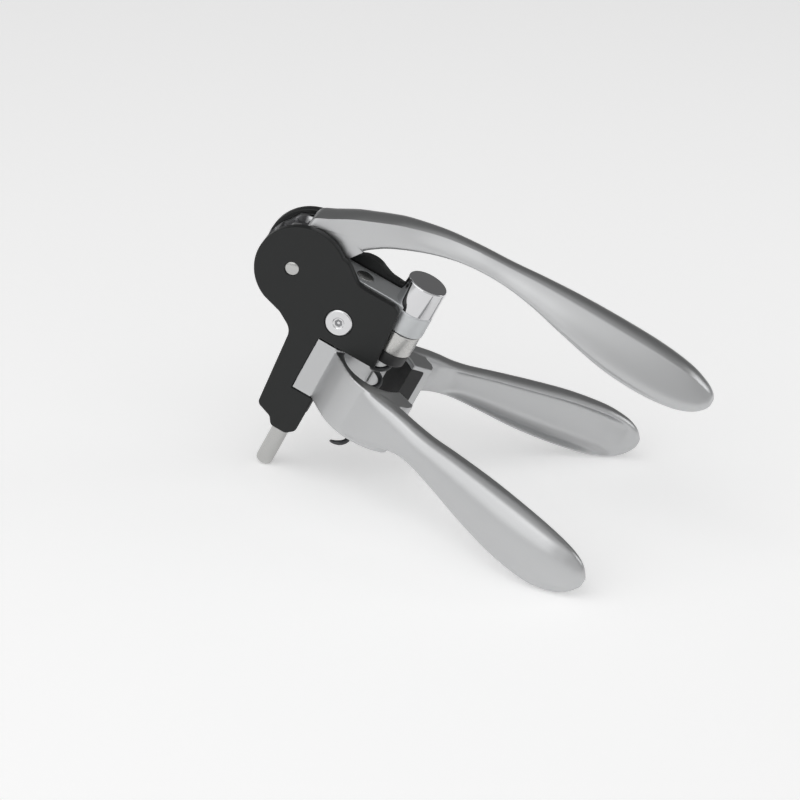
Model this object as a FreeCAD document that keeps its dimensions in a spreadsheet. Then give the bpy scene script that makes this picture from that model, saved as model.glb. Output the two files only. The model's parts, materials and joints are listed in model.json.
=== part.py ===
"""Lever corkscrew with two gripping handles, driven by a rack and pinion.

Everything is first drawn in the tool's own frame, in millimetres: the guide
rod's axis is Z with its lower end at zero, +X points to the worm and the
handles, and Y runs from the near side plate (-Y) to the far one (+Y).  At the
end one common placement lays the tool down as it rests on a table, on the
rod's end and the two handles.
"""
import math
import os

import FreeCAD
import Part
import Sketcher

DOC = FreeCAD.newDocument("lever_corkscrew")
VEC = FreeCAD.Vector

# ---------------------------------------------------------------- dimensions
DIMENSIONS = {
    # side plates
    "plate_outer": 11.5,
    "plate_inner": 7.5,
    "lobe_x": -24.0,
    "lobe_z": 91.8,
    "lobe_radius": 19.7,
    "head_right": 21.9,
    "head_lean": 2.1,
    "near_top": 99.2,
    "far_top": 101.2,
    "notch_left": -4.1,
    "notch_floor": 43.4,
    "notch_roof": 69.8,
    "leg_right": 6.2,
    "leg_foot": 22.8,
    # lever pivot, pinion and rack
    "pivot_x": -27.6,
    "pivot_z": 91.1,
    "pin_radius": 3.0,
    "tooth_count": 16,
    "pitch_radius": 14.5,
    "gear_half_width": 4.0,
    "rack_back": -7.4,
    "rack_foot": 41.0,
    # guide rod and the sleeve it slides in
    "rod_radius": 3.75,
    "rod_end_radius": 3.7,
    "rod_end_length": 19.0,
    "sleeve_bore": 3.8,
    "sleeve_radius": 5.0,
    # carriage
    "strap_top": 99.7,
    "strap_under": 92.7,
    "strap_half_width": 6.7,
    "ring_radius": 8.7,
    "ring_top": 98.1,
    "ring_under": 88.3,
    "cap_top": 111.2,
    # worm and nut
    "worm_x": 24.0,
    "worm_pitch": 10.0,
    "worm_mid_radius": 3.0,
    "wire_radius": 1.1,
    "worm_tip": 22.5,
    "worm_start": 78.5,
    "worm_shank_radius": 4.1,
    "nut_radius": 8.3,
    "nut_under": 77.8,
    "collar_under": 72.2,
    # big screws
    "screw_z": 80.35,
    "screw_head_radius": 5.9,
    "screw_shank_radius": 2.0,
    # handles
    "open_angle": 15.5,
    "knuckle_radius": 6.3,
    "knuckle_low": 50.2,
    "knuckle_high": 62.4,
    "bottle_radius": 14.6,
    "insert_outer": 20.5,
    "wall_radius": 21.0,
    "wall_x": 29.2,
    "wall_y": 1.35,
    "collar_high": 68.0,
    "handle_angle": 27.0,
}

SHEET = DOC.addObject("Spreadsheet::Sheet", "dims")
for row, (alias, value) in enumerate(DIMENSIONS.items(), start=1):
    SHEET.set("A%d" % row, alias)
    SHEET.set("B%d" % row, str(value))
    SHEET.setAlias("B%d" % row, alias)
DOC.recompute()


def d(alias):
    """Expression text that reads one named dimension."""
    return "dims." + alias


def val(alias):
    """Present value of one named dimension."""
    return float(DIMENSIONS[alias])


def bind(obj, prop, expression):
    """Tie a property to an expression, or set it when it is a plain number."""
    if isinstance(expression, str):
        obj.setExpression(prop, expression)
    elif prop.startswith(".Placement.Base."):
        base = VEC(obj.Placement.Base)
        setattr(base, prop[-1], expression)
        obj.Placement = FreeCAD.Placement(base, obj.Placement.Rotation)
    else:
        setattr(obj, prop, expression)


def place(obj, at):
    """Tie an object's position to three expressions."""
    for axis, expression in zip("xyz", at):
        bind(obj, ".Placement.Base." + axis, expression)


ALONG = {
    "z": FreeCAD.Rotation(),
    "y": FreeCAD.Rotation(VEC(1, 0, 0), -90),
    "x": FreeCAD.Rotation(VEC(0, 1, 0), 90),
}


def cylinder(name, radius, height, at, along="z"):
    obj = DOC.addObject("Part::Cylinder", name)
    obj.Placement = FreeCAD.Placement(VEC(), ALONG[along])
    bind(obj, "Radius", radius)
    bind(obj, "Height", height)
    place(obj, at)
    return obj


def cone(name, radius_low, radius_high, height, at, along="z"):
    obj = DOC.addObject("Part::Cone", name)
    obj.Placement = FreeCAD.Placement(VEC(), ALONG[along])
    bind(obj, "Radius1", radius_low)
    bind(obj, "Radius2", radius_high)
    bind(obj, "Height", height)
    place(obj, at)
    return obj


def sphere(name, radius, at):
    obj = DOC.addObject("Part::Sphere", name)
    bind(obj, "Radius", radius)
    place(obj, at)
    return obj


def box(name, x_range, y_range, z_range):
    """Block between pairs of expressions."""
    obj = DOC.addObject("Part::Box", name)
    for prop, (low, high) in zip(("Length", "Width", "Height"), (x_range, y_range, z_range)):
        bind(obj, prop, "(%s) - (%s)" % (high, low))
    place(obj, [str(pair[0]) for pair in (x_range, y_range, z_range)])
    return obj


def hexagon(name, radius, height, at, along="z"):
    obj = DOC.addObject("Part::Prism", name)
    obj.Polygon = 6
    obj.Placement = FreeCAD.Placement(VEC(), ALONG[along])
    bind(obj, "Circumradius", radius)
    bind(obj, "Height", height)
    place(obj, at)
    return obj


PLANES = {
    # plane: rotation of the sketch, extrusion direction, axis of the offset
    "XY": (FreeCAD.Rotation(), VEC(0, 0, 1), "z"),
    "XZ": (FreeCAD.Rotation(VEC(1, 0, 0), 90), VEC(0, 1, 0), "y"),
}


def prism(name, plane, points, low, high):
    """Straight-sided outline whose corners are expressions, extruded low to high."""
    rotation, direction, axis = PLANES[plane]
    sketch = DOC.addObject("Sketcher::SketchObject", name + "_outline")
    sketch.Placement = FreeCAD.Placement(VEC(), rotation)
    start = [VEC(number(px), number(py), 0) for px, py in points]
    count = len(points)
    for i in range(count):
        sketch.addGeometry(Part.LineSegment(start[i], start[(i + 1) % count]), False)
    for i in range(count):
        sketch.addConstraint(Sketcher.Constraint("Coincident", i, 2, (i + 1) % count, 1))
    for i, pair in enumerate(points):
        for kind, expression, here in zip(("DistanceX", "DistanceY"), pair, (start[i].x, start[i].y)):
            index = sketch.addConstraint(Sketcher.Constraint(kind, -1, 1, i, 1, here))
            if isinstance(expression, str):
                sketch.setExpression("Constraints[%d]" % index, expression)
    bind(sketch, ".Placement.Base." + axis, low)
    solid = DOC.addObject("Part::Extrusion", name)
    solid.Base = sketch
    solid.DirMode = "Custom"
    solid.Dir = direction
    solid.Solid = True
    bind(solid, "LengthFwd", "(%s) - (%s)" % (high, low))
    return solid


def number(expression):
    """Value of a plain number or of a short expression over the named dimensions."""
    if not isinstance(expression, str):
        return float(expression)
    total = 0.0
    sign = 1.0
    for word in expression.split():
        if word in "+-":
            sign = 1.0 if word == "+" else -1.0
            continue
        name = word.lstrip("-")
        term = val(name[5:]) if name.startswith("dims.") else float(name)
        total += -sign * term if word.startswith("-") else sign * term
    return total


def ellipse(name, station, centre_y, centre_z, half_y, half_z):
    """Ellipse across X, the wider way as its major axis."""
    obj = DOC.addObject("Part::Ellipse", name)
    if half_y >= half_z:
        rotation = FreeCAD.Rotation(VEC(0, 1, 0), VEC(0, 0, 1), VEC(1, 0, 0), "ZXY")
    else:
        rotation = FreeCAD.Rotation(VEC(0, 0, 1), VEC(0, -1, 0), VEC(1, 0, 0), "ZXY")
    obj.MajorRadius = max(half_y, half_z)
    obj.MinorRadius = min(half_y, half_z)
    obj.Placement = FreeCAD.Placement(VEC(station, centre_y, centre_z), rotation)
    return obj


def loft(name, sections):
    """Smooth solid through (station, centre_y, centre_z, half_y, half_z) ellipses."""
    rings = []
    for i, section in enumerate(sections):
        rings.append(ellipse("%s_ring_%d" % (name, i), *section))
    solid = DOC.addObject("Part::Loft", name)
    solid.Sections = rings
    solid.Solid = True
    solid.Ruled = False
    return solid


def fuse(name, parts):
    obj = DOC.addObject("Part::MultiFuse", name)
    obj.Shapes = parts
    obj.Refine = True
    return obj


def cut(name, base, tools):
    """Base less its tools."""
    tool = tools[0]
    if len(tools) > 1:
        tool = DOC.addObject("Part::MultiFuse", name + "_tools")
        tool.Shapes = tools
        tool.Refine = False
    obj = DOC.addObject("Part::Cut", name)
    obj.Base = base
    obj.Tool = tool
    obj.Refine = True
    return obj


def group(name, parts):
    obj = DOC.addObject("Part::Compound", name)
    obj.Links = parts
    return obj


NODES = []


def node(label, obj):
    """Keep an object as one handed-over piece under its own label."""
    obj.Label = label
    NODES.append(obj)
    return obj


# ----------------------------------------------------------------- the plates
def side_plate(label, sign, extra):
    """One black side plate; sign is -1 for the near one and +1 for the far one."""
    if sign < 0:
        low = "-" + d("plate_outer")
        high = "-" + d("plate_inner")
    else:
        low = d("plate_inner")
        high = d("plate_outer")
    right = d("head_right")
    upper_right = right + " - " + d("head_lean")
    if sign < 0:
        top = d("near_top")
        shoulder = [
            (-16.0, 104.0), (-12.4, 108.1), (-7.9, 105.9), (-4.6, 103.2), (-0.9, 100.2), (1.6, top),
        ]
    else:
        top = d("far_top")
        shoulder = [(-16.0, 104.0), (-9.0, 104.4), (-5.2, 103.0), (-1.6, 101.6), (1.6, top)]
    outline = [
        (upper_right + " - 5.0", top),
        (upper_right + " - 2.2", top + " - 0.9"),
        (upper_right + " - 0.5", top + " - 2.9"),
        (upper_right, top + " - 6.0"),
        (right, d("notch_roof")),
        (d("notch_left"), d("notch_roof")),
        (d("notch_left"), d("notch_floor")),
        (d("leg_right"), d("notch_floor")),
        (d("leg_right"), d("leg_foot") + " + 4.6"),
        (d("leg_right") + " - 1.6", d("leg_foot") + " + 1.6"),
        (3.2, d("leg_foot")),
        (-3.2, d("leg_foot")),
        (-5.8, d("leg_foot") + " + 3.1"),
        (-11.6, d("leg_foot") + " + 5.6"),
        (-13.5, d("leg_foot") + " + 8.4"),
        (-15.9, 61.4),
        (-16.3, 64.4),
        (-17.3, 66.9),
        (-19.2, 68.9),
        (-22.0, 70.4),
        (-26.5, 72.3),
        (-24.0, 92.0),
    ] + shoulder
    flat = prism(label + "_flat", "XZ", outline, low, high)
    lobe = cylinder(label + "_lobe", d("lobe_radius"), d("plate_outer") + " - " + d("plate_inner"),
                    (d("lobe_x"), low, d("lobe_z")), "y")
    blank = fuse(label + "_blank", [flat, lobe] + extra)
    pin_hole = cylinder(label + "_pin_hole", d("pin_radius"), 30, (d("pivot_x"), -15, d("pivot_z")), "y")
    screw_hole = cylinder(label + "_screw_hole", d("screw_shank_radius"), 30, (0, -15, d("screw_z")), "y")
    if sign < 0:
        seat_y = "-" + d("plate_outer") + " - 0.1"
    else:
        seat_y = d("plate_outer") + " - 0.9"
    seat = cylinder(label + "_screw_seat", d("screw_head_radius"), 1.0, (0, seat_y, d("screw_z")), "y")
    scoop = cylinder(label + "_scoop", d("ring_radius") + " + 0.5", 60, (d("worm_x"), 0, 60))
    return node(label, cut(label, blank, [pin_hole, screw_hole, seat, scoop]))


bulge = prism("far_bulge", "XZ", [
    (-9.0, 100.0), (-9.0, 104.6), (-3.0, 104.5), (0.0, 104.9), (3.1, 104.5),
    (6.1, 103.0), (8.8, 102.1), (14.8, d("far_top")), (14.8, 100.0),
], d("plate_inner"), d("plate_outer"))

side_plate("near_side_plate", -1, [])
side_plate("far_side_plate", 1, [bulge])

# ------------------------------------------------- blocks between the plates
INNER = ("-" + d("plate_inner"), d("plate_inner"))

block = box("guide_block_blank", ("-6", "18"), INNER, (d("notch_roof") + " + 1.2", "87.6"))
block_bore = cylinder("guide_block_bore", d("sleeve_radius"), 40, (0, 0, 60))
block_seat = cylinder("guide_block_seat", d("nut_radius"), 40, (d("worm_x"), 0, 60))
block_tap = cylinder("guide_block_tap", d("screw_shank_radius"), 30, (0, -15, d("screw_z")), "y")
node("guide_block", cut("guide_block", block, [block_bore, block_seat, block_tap]))

foot = box("leg_spacer_blank", ("-6", "5.6"), INNER, ("24.4", d("notch_floor") + " - 0.6"))
foot_bore = cylinder("leg_spacer_bore", d("sleeve_radius"), 60, (0, 0, 10))
node("leg_spacer", cut("leg_spacer", foot, [foot_bore]))

sleeve = cylinder("hinge_sleeve_blank", d("sleeve_radius"), 63.2, (0, 0, 24.4))
sleeve_bore = cylinder("hinge_sleeve_bore", d("sleeve_bore"), 80, (0, 0, 20))
node("hinge_sleeve", cut("hinge_sleeve", sleeve, [sleeve_bore]))

pin = cylinder("lever_pin_shaft", d("pin_radius"), "2 * " + d("plate_outer") + " - 0.2",
               (d("pivot_x"), "-" + d("plate_outer") + " + 0.1", d("pivot_z")), "y")
node("lever_pin", group("lever_pin", [pin]))


def plate_screw(label, sign):
    """Big flat-headed screw with a hexagon socket, from one side into the block."""
    if sign < 0:
        head_y = "-" + d("plate_outer") + " - 0.5"
        shank_y = "-" + d("plate_outer") + " + 0.8"
        socket_y = "-" + d("plate_outer") + " - 0.5"
    else:
        head_y = d("plate_outer") + " - 0.9"
        shank_y = "5.4"
        socket_y = d("plate_outer") + " - 0.7"
    head = cylinder(label + "_head", d("screw_head_radius") + " - 0.05", 1.4, (0, head_y, d("screw_z")), "y")
    shank = cylinder(label + "_shank", d("screw_shank_radius"), d("plate_outer") + " - 6.2",
                     (0, shank_y, d("screw_z")), "y")
    whole = fuse(label + "_whole", [head, shank])
    socket = hexagon(label + "_socket", 1.75, 1.2, (0, socket_y, d("screw_z")), "y")
    return node(label, cut(label, whole, [socket]))


plate_screw("near_plate_screw", -1)
plate_screw("far_plate_screw", 1)

# ------------------------------------------------------------- nut and housing
housing = cylinder("nut_housing_blank", d("nut_radius"), d("ring_under") + " - " + d("nut_under") + " - 0.5",
                   (d("worm_x"), 0, d("nut_under")))
housing_bore = cylinder("nut_housing_bore", d("worm_shank_radius") + " + 0.4", 60, (d("worm_x"), 0, 60))
node("nut_housing", cut("nut_housing", housing, [housing_bore]))

collar = cylinder("nut_collar_blank", d("nut_radius") + " - 0.5", d("nut_under") + " - " + d("collar_under"),
                  (d("worm_x"), 0, d("collar_under")))
collar_bore = cylinder("nut_collar_bore", "6.4", 60, (d("worm_x"), 0, 60))
node("nut_collar", cut("nut_collar", collar, [collar_bore]))

nut = cylinder("worm_nut_blank", "6.4", d("nut_under") + " - " + d("collar_under") + " - 0.4",
               (d("worm_x"), 0, d("collar_under") + " + 0.4"))
nut_bore = cylinder("worm_nut_bore", d("worm_shank_radius") + " + 0.4", 60, (d("worm_x"), 0, 60))
nut_ring = cut("worm_nut_ring", nut, [nut_bore])
nut_peg = cylinder("worm_nut_peg", 0.9, 3.6, (d("worm_x") + " + 2.2", 0, d("collar_under") + " + 2.2"), "x")
node("worm_nut", fuse("worm_nut", [nut_ring, nut_peg]))

# -------------------------------------------------------------------- carriage
strap = prism("strap_bar", "XY", [
    (-11.6, "-" + d("strap_half_width") + " + 1.5"),
    (-10.1, "-" + d("strap_half_width")),
    (12.0, "-" + d("strap_half_width")),
    (18.0, "-" + d("ring_radius") + " + 1.7"),
    (21.5, "-" + d("ring_radius") + " + 0.8"),
    (21.5, d("ring_radius") + " - 0.8"),
    (18.0, d("ring_radius") + " - 1.7"),
    (12.0, d("strap_half_width")),
    (-10.1, d("strap_half_width")),
    (-11.6, d("strap_half_width") + " - 1.5"),
], d("strap_under"), d("strap_top"))
ring = cylinder("strap_ring", d("ring_radius"), d("ring_top") + " - " + d("ring_under"),
                (d("worm_x"), 0, d("ring_under")))
strap_whole = fuse("strap_whole", [strap, ring])
cap_clear = cylinder("strap_cap_seat", d("ring_radius"), 20, (d("worm_x"), 0, d("ring_top")))
ring_bore = cylinder("strap_ring_bore", d("worm_shank_radius") + " + 0.05", 60, (d("worm_x"), 0, 60))
rod_hole = cylinder("strap_rod_hole", d("rod_radius"), 60, (0, 0, 60))
washer_seat = cylinder("strap_washer_seat", 6.6, 5, (d("worm_x"), 0, d("ring_top") + " - 1.2"))
rivet_holes = []
for i, y in enumerate((-2.4, 2.4)):
    rivet_holes.append(cylinder("strap_rivet_hole_%d" % i, 1.0, 20, (-9.6, y, 85)))
node("carriage_strap", cut("carriage_strap", strap_whole,
                           [cap_clear, ring_bore, rod_hole, washer_seat] + rivet_holes))

rod_free = cylinder("guide_rod_free", d("rod_end_radius"), d("rod_end_length"), (0, 0, 1.2))
rod = cylinder("guide_rod_shaft", d("rod_radius"), d("strap_top") + " - 1.3 - " + d("rod_end_length"),
               (0, 0, d("rod_end_length") + " + 1.2"))
rod_end = cone("guide_rod_end", d("rod_end_radius") + " - 1.2", d("rod_end_radius"), 1.2, (0, 0, 0))
node("guide_rod", fuse("guide_rod", [rod, rod_free, rod_end]))

cap = cylinder("chrome_cap_blank", d("ring_radius"), d("cap_top") + " - " + d("ring_top"),
               (d("worm_x"), 0, d("ring_top")))
cap_hollow = cylinder("chrome_cap_hollow", 6.6, 6.6, (d("worm_x"), 0, d("ring_top")))
node("chrome_cap", cut("chrome_cap", cap, [cap_hollow]))

washer = cylinder("thrust_washer_blank", 6.5, 1.1, (d("worm_x"), 0, d("ring_top") + " - 1.2"))
washer_bore = cylinder("thrust_washer_bore", d("worm_shank_radius") + " + 0.05", 60, (d("worm_x"), 0, 60))
node("thrust_washer", cut("thrust_washer", washer, [washer_bore]))


# -------------------------------------------------------------- pinion and rack
MODULE = 2.0 * val("pitch_radius") / val("tooth_count")
PRESSURE = math.radians(20.0)
BACKLASH = 0.25


def gear_outline():
    """Closed outline of the pinion about its own axis, a tooth space facing +X."""
    count = int(val("tooth_count"))
    pitch = val("pitch_radius")
    base = pitch * math.cos(PRESSURE)
    tip = pitch + 0.92 * MODULE
    root = pitch - 1.25 * MODULE
    spread = math.tan(PRESSURE) - PRESSURE
    half = math.pi / (2.0 * count) - 0.5 * BACKLASH / pitch + spread
    flank = []
    for step in range(5):
        radius = base + (tip - base) * step / 4.0
        roll = math.sqrt(max((radius / base) ** 2 - 1.0, 0.0))
        flank.append((radius, half - (roll - math.atan(roll))))
    points = []
    for tooth in range(count):
        middle = 2.0 * math.pi * (tooth + 0.5) / count
        points.append((root, middle - half - 0.02))
        for radius, angle in flank:
            points.append((radius, middle - angle))
        for radius, angle in reversed(flank):
            points.append((radius, middle + angle))
        points.append((root, middle + half + 0.02))
    corners = [VEC(r * math.cos(a), 0, r * math.sin(a)) for r, a in points]
    return corners + corners[:1]


def rack_outline(x_pitch, z_contact, z_low, z_high, back):
    """Closed outline of the rack in XZ, with a tooth centred on z_contact."""
    step = math.pi * MODULE
    add = 0.92 * MODULE
    ded = 1.25 * MODULE
    slope = math.tan(PRESSURE)
    half = 0.25 * step - 0.5 * BACKLASH
    corners = [VEC(back, 0, z_low), VEC(x_pitch + ded, 0, z_low)]
    first = int(math.ceil((z_low + 0.5 * step - z_contact) / step))
    last = int(math.floor((z_high - 0.5 * step - z_contact) / step))
    for tooth in range(first, last + 1):
        z = z_contact + tooth * step
        corners.append(VEC(x_pitch + ded, 0, z - half - ded * slope))
        corners.append(VEC(x_pitch - add, 0, z - half + add * slope))
        corners.append(VEC(x_pitch - add, 0, z + half - add * slope))
        corners.append(VEC(x_pitch + ded, 0, z + half + ded * slope))
    corners.append(VEC(x_pitch + ded, 0, z_high))
    corners.append(VEC(back, 0, z_high))
    return corners + corners[:1]


def feature(name, shape):
    obj = DOC.addObject("Part::Feature", name)
    obj.Shape = shape
    return obj


def toothed(name, corners, half_width):
    """Toothed outline in XZ made solid over +-half_width in Y."""
    face = Part.Face(Part.makePolygon(corners))
    face.translate(VEC(0, -half_width, 0))
    return feature(name, face.extrude(VEC(0, 2.0 * half_width, 0)))


pinion_blank = toothed("pinion_blank", gear_outline(), val("gear_half_width"))
place(pinion_blank, (d("pivot_x"), 0, d("pivot_z")))
pinion_boss = cylinder("pinion_boss", 9.0, 13.0, (d("pivot_x"), -6.5, d("pivot_z")), "y")
pinion_whole = fuse("pinion_whole", [pinion_blank, pinion_boss])
pinion_bore = cylinder("pinion_bore", 4.6, 30, (d("pivot_x"), -15, d("pivot_z")), "y")
node("pinion", cut("pinion", pinion_whole, [pinion_bore]))

bush = cylinder("pinion_bush_blank", 4.6, 14.4, (d("pivot_x"), -7.2, d("pivot_z")), "y")
bush_bore = cylinder("pinion_bush_bore", d("pin_radius") + " + 0.05", 30,
                     (d("pivot_x"), -15, d("pivot_z")), "y")
node("pinion_bush", cut("pinion_bush", bush, [bush_bore]))

rack = toothed("rack_blank", rack_outline(val("pivot_x") + val("pitch_radius"), val("pivot_z"),
                                          val("rack_foot"), val("strap_under"), val("rack_back")),
               val("gear_half_width"))
rack_taps = []
for i, y in enumerate((-2.4, 2.4)):
    rack_taps.append(cylinder("rack_tap_%d" % i, 1.0, 20, (-9.6, y, 88.5)))
node("rack_bar", cut("rack_bar", rack, rack_taps))

rivets = []
for i, y in enumerate((-2.4, 2.4)):
    rivets.append(cylinder("rack_rivet_%d" % i, 1.0, 11.0, (-9.6, y, 88.6)))
node("rack_rivets", group("rack_rivets", rivets))

# ----------------------------------------------------------------------- lever
# Each section: X station, Z of the middle, half width in Y, half height in Z.
LEVER_SECTIONS = (
    (-33.0, 107.6, 6.9, 3.2),
    (-24.0, 110.0, 6.9, 5.4),
    (-10.0, 115.6, 6.8, 8.0),
    (5.0, 123.9, 6.8, 6.0),
    (20.0, 129.6, 6.7, 4.4),
    (35.0, 132.8, 6.8, 3.7),
    (50.0, 133.7, 7.2, 3.9),
    (65.0, 133.4, 9.2, 5.6),
    (82.0, 131.9, 11.8, 8.0),
    (102.0, 130.0, 13.6, 10.0),
    (120.0, 129.0, 13.8, 10.4),
    (134.0, 128.5, 12.4, 9.2),
    (142.5, 128.3, 9.6, 6.8),
    (147.0, 128.2, 6.0, 4.0),
    (148.9, 128.2, 2.6, 1.6),
)
arm = loft("lever_loft", [(x, 0.0, z, y, h) for x, z, y, h in LEVER_SECTIONS])
cheeks = []
for i, y in enumerate((-6.9, 4.3)):
    disc = cylinder("lever_cheek_%d" % i, 15.6, 2.6, (d("pivot_x"), y, d("pivot_z")), "y")
    cheeks.append(disc)
    web = prism("lever_web_%d" % i, "XZ", [
        (-41.0, 98.0), (-36.0, 106.8), (-26.0, 111.5), (-14.0, 115.0), (-5.5, 111.5), (-9.2, 106.0),
        (-13.0, 97.0),
    ], y, y + 2.6)
    cheeks.append(web)
pinion_clear = cylinder("lever_pinion_room", 16.9, "2 * " + d("gear_half_width") + " + 0.2",
                        (d("pivot_x"), "-" + d("gear_half_width") + " - 0.1", d("pivot_z")), "y")
boss_hole = cylinder("lever_boss_hole", 9.0, 30, (d("pivot_x"), -15, d("pivot_z")), "y")
strap_clear = box("lever_strap_room", ("-13.6", "26"), ("-20", "20"), ("60", "101.4"))
node("lever_arm", cut("lever_arm", arm, [pinion_clear, strap_clear]))
lever_root = fuse("lever_root_blank", cheeks)
node("lever_root", cut("lever_root", lever_root, [arm, boss_hole, strap_clear]))

# ------------------------------------------------------------------------ worm
WORM_TURNS = (val("worm_start") - val("worm_tip")) / val("worm_pitch")


def worm_wire():
    """Wire swept along the helix, ground to a point at the bottom."""
    helix = Part.makeHelix(val("worm_pitch"), val("worm_start") - val("worm_tip"), val("worm_mid_radius"))
    start = VEC(val("worm_mid_radius"), 0, 0)
    rise = val("worm_pitch") / (2.0 * math.pi * val("worm_mid_radius"))
    along = VEC(0, 1, rise)
    profile = Part.Wire(Part.makeCircle(val("wire_radius"), start, along))
    swept = Part.Wire(helix).makePipeShell([profile], True, True)
    return swept


wire = feature("worm_wire", worm_wire())
# the peg of the nut sits half a pitch away from the wire
PEG_Z = val("collar_under") + 2.2
PHASE = 360.0 * ((PEG_Z - 0.5 * val("worm_pitch") - val("worm_tip")) / val("worm_pitch"))
wire.Placement = FreeCAD.Placement(VEC(val("worm_x"), 0, val("worm_tip")),
                                   FreeCAD.Rotation(VEC(0, 0, 1), -PHASE))
node("worm_helix", group("worm_helix", [wire]))

worm_sleeve = cylinder("worm_sleeve_blank", d("worm_shank_radius"), 9.5, (d("worm_x"), 0, 79.7))
ribs = []
for i in range(4):
    groove_out = cylinder("worm_groove_out_%d" % i, 6, 0.8, (d("worm_x"), 0, 81.0 + 2.0 * i))
    groove_in = cylinder("worm_groove_in_%d" % i, 3.6, 0.8, (d("worm_x"), 0, 81.0 + 2.0 * i))
    ribs.append(cut("worm_groove_%d" % i, groove_out, [groove_in]))
node("worm_sleeve", cut("worm_sleeve", worm_sleeve, ribs))

shank = cylinder("worm_shank", d("worm_shank_radius"), d("ring_top") + " - 89.0", (d("worm_x"), 0, 89.3))
flange = cylinder("worm_flange", 6.2, 2.2, (d("worm_x"), 0, d("ring_top")))
button = cylinder("worm_button", 3.2, 2.4, (d("worm_x"), 0, d("ring_top") + " + 2"))
node("worm_head", fuse("worm_head", [shank, flange, button]))

# --------------------------------------------------------------------- handles
OPEN = val("open_angle")
# angle about the bottle's axis at which a collar begins, and how far its insert runs
FREE_EDGE = 14.0
INSERT_SWEEP = 46.0


def swung(obj, angle):
    """Copy of an object swung about the hinge axis."""
    wrap = group(obj.Name + "_swung", [obj])
    wrap.Placement = FreeCAD.Placement(VEC(), FreeCAD.Rotation(VEC(0, 0, 1), angle))
    return wrap


def arc_band(name, radius_in, radius_out, z_low, z_high, start, sweep, angle):
    """Part ring about the bottle's axis, in the swung handle."""
    outer = cylinder(name + "_outer", radius_out, "(%s) - (%s)" % (z_high, z_low), (d("worm_x"), 0, z_low))
    outer.Angle = sweep
    outer.Placement = FreeCAD.Placement(outer.Placement.Base, FreeCAD.Rotation(VEC(0, 0, 1), start))
    inner = cylinder(name + "_inner", radius_in, 80, (d("worm_x"), 0, 10))
    return swung(cut(name, outer, [inner]), angle)


def collar_wall(name, sign, angle):
    """Half collar whose wall thickens towards its free end, in the swung handle."""
    low = d("notch_floor") + " + 0.5"
    off_y = d("wall_y") if sign < 0 else "-" + d("wall_y")
    outer = cylinder(name + "_outer", d("wall_radius"), "(%s) - (%s)" % (d("collar_high"), low),
                     (d("wall_x"), off_y, low))
    reach = 60.0
    free = math.radians(FREE_EDGE)
    side_x = reach * math.cos(free)
    side_y = sign * reach * math.sin(free)
    corners = [
        (d("worm_x"), 0),
        (d("worm_x") + " + %.4f" % side_x, side_y),
        (d("worm_x") + " + %.4f" % side_x, -sign * reach),
        (d("worm_x") + " - %.4f" % side_x, -sign * reach),
        (d("worm_x") + " - %.4f" % side_x, side_y),
    ]
    other_half = prism(name + "_other_half", "XY", corners, 10, 90)
    return swung(cut(name, outer, [other_half]), angle)


# Each section of the grip: station along the handle, offset outwards,
# Z of the middle, half thickness, half height.
HANDLE_SECTIONS = (
    (26.0, 12.0, 55.6, 5.6, 10.6),
    (40.0, 11.6, 57.6, 5.4, 10.2),
    (52.0, 8.6, 60.2, 6.2, 8.8),
    (64.0, 6.9, 60.9, 6.2, 7.6),
    (80.0, 5.8, 60.8, 7.0, 9.4),
    (98.0, 4.9, 60.3, 7.8, 11.6),
    (116.0, 4.2, 60.1, 8.0, 12.9),
    (132.0, 2.6, 60.2, 7.4, 12.8),
    (143.0, 0.4, 60.8, 6.0, 11.0),
    (150.0, -1.4, 61.8, 4.0, 7.2),
    (153.2, -2.2, 62.2, 1.6, 3.0),
)


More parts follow.
